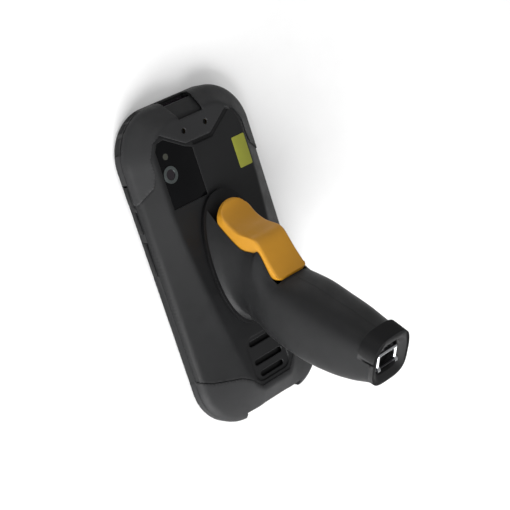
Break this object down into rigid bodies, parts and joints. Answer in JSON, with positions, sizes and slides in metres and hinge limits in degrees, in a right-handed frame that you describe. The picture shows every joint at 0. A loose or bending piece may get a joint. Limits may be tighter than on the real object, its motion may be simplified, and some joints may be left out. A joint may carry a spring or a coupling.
{
  "type": "handheld barcode scanner",
  "caption": "Slab-shaped handheld barcode scanner with a pistol grip on its back, a pull trigger, side keys, rubber bumpers, a scan window at one end and a folding lanyard loop.",
  "frame": {"origin": "middle of the front face, which lies down on z = 0", "axes": "+Y along the body towards the scanning end, +X across it to the right seen from the back, +Z out of the back on the grip's side"},
  "size_m": [0.0826, 0.1642, 0.1085],
  "materials": {
    "charcoal_shell": "fine matt texture",
    "bumper_rubber": "soft matt",
    "black_plastic": "satin",
    "screen_glass": "gloss cover glass, dark when off",
    "window_gloss": "piano gloss",
    "clear_glass": "clear",
    "display_sheet": "gloss",
    "flash_lens": "gloss",
    "orange_trigger": "satin",
    "olive_label": "semi-matt film",
    "steel": "plain",
    "dark_steel": "blackened",
    "bright_wire": "polished",
    "ring_metal": "turned",
    "chassis_alloy": "die cast",
    "gold_contact": "plated",
    "board": "solder mask",
    "flex_film": "polyimide film",
    "battery_wrap": "film",
    "seal_rubber": "silicone"
  },
  "bodies": {
    "device": {"front_frame": "charcoal_shell", "touch_glass": "screen_glass", "display_panel": "display_sheet", "mid_chassis": "chassis_alloy", "earpiece_mesh": "steel", "earpiece": "black_plastic", "front_camera": "black_plastic", "main_board": "board", "shield_cans": "steel", "io_board": "board", "board_flex": "flex_film", "battery_pack": "battery_wrap", "scan_engine": "black_plastic", "scan_window": "clear_glass", "rear_camera_module": "black_plastic", "camera_window": "window_gloss", "camera_ring": "ring_metal", "camera_lens": "clear_glass", "flash_led": "flash_lens", "speaker": "black_plastic", "speaker_mesh": "black_plastic", "vibration_motor": "steel", "usb_socket": "steel", "dock_contacts": "gold_contact", "housing_gasket": "seal_rubber", "rear_housing": "charcoal_shell", "top_bumper": "bumper_rubber", "bottom_bumper": "bumper_rubber", "housing_screws": "steel", "strap_inserts": "gold_contact", "rating_label": "olive_label", "key_switches": "steel", "back_contacts": "gold_contact", "grip_plate": "black_plastic", "grip_screws": "steel", "grip_left_shell": "charcoal_shell", "grip_right_shell": "charcoal_shell", "shell_screws": "steel", "trigger_pin": "steel", "trigger_spring": "steel", "trigger_board": "board", "trigger_switch": "black_plastic", "grip_contact_block": "black_plastic", "grip_cable": "flex_film", "end_cap": "black_plastic", "end_cap_screws": "steel", "bail_pin": "dark_steel"},
    "trigger_lever": {"trigger": "orange_trigger"},
    "volume_up_button": {"volume_up_key": "black_plastic"},
    "volume_down_button": {"volume_down_key": "black_plastic"},
    "left_scan_button": {"left_scan_key": "black_plastic"},
    "power_button": {"power_key": "black_plastic"},
    "right_scan_button": {"right_scan_key": "black_plastic"},
    "loop": {"lanyard_bail": "bright_wire"}
  },
  "joints": [
    {"name": "trigger_pull", "type": "hinge", "parent": "device", "child": "trigger_lever", "pos_m": [0, 0.009, 0.025], "axis": [1, 0, 0], "range_deg": [0, 6], "stiffness_Nm_per_rad": 0.9, "springref_deg": -3.44},
    {"name": "volume_up_press", "type": "slide", "parent": "device", "child": "volume_up_button", "axis": [1, 0, 0], "range_m": [0, 0.0004], "stiffness_N_per_m": 3000, "springref_m": -0.0002},
    {"name": "volume_down_press", "type": "slide", "parent": "device", "child": "volume_down_button", "axis": [1, 0, 0], "range_m": [0, 0.0004], "stiffness_N_per_m": 3000, "springref_m": -0.0002},
    {"name": "left_scan_press", "type": "slide", "parent": "device", "child": "left_scan_button", "axis": [1, 0, 0], "range_m": [0, 0.0004], "stiffness_N_per_m": 3000, "springref_m": -0.0002},
    {"name": "power_press", "type": "slide", "parent": "device", "child": "power_button", "axis": [-1, 0, 0], "range_m": [0, 0.0004], "stiffness_N_per_m": 3000, "springref_m": -0.0002},
    {"name": "right_scan_press", "type": "slide", "parent": "device", "child": "right_scan_button", "axis": [-1, 0, 0], "range_m": [0, 0.0004], "stiffness_N_per_m": 3000, "springref_m": -0.0002},
    {"name": "bail_swing", "type": "hinge", "parent": "device", "child": "loop", "pos_m": [0, -0.05736, 0.09718], "axis": [1, 0, 0], "range_deg": [0, 130]}
  ]
}
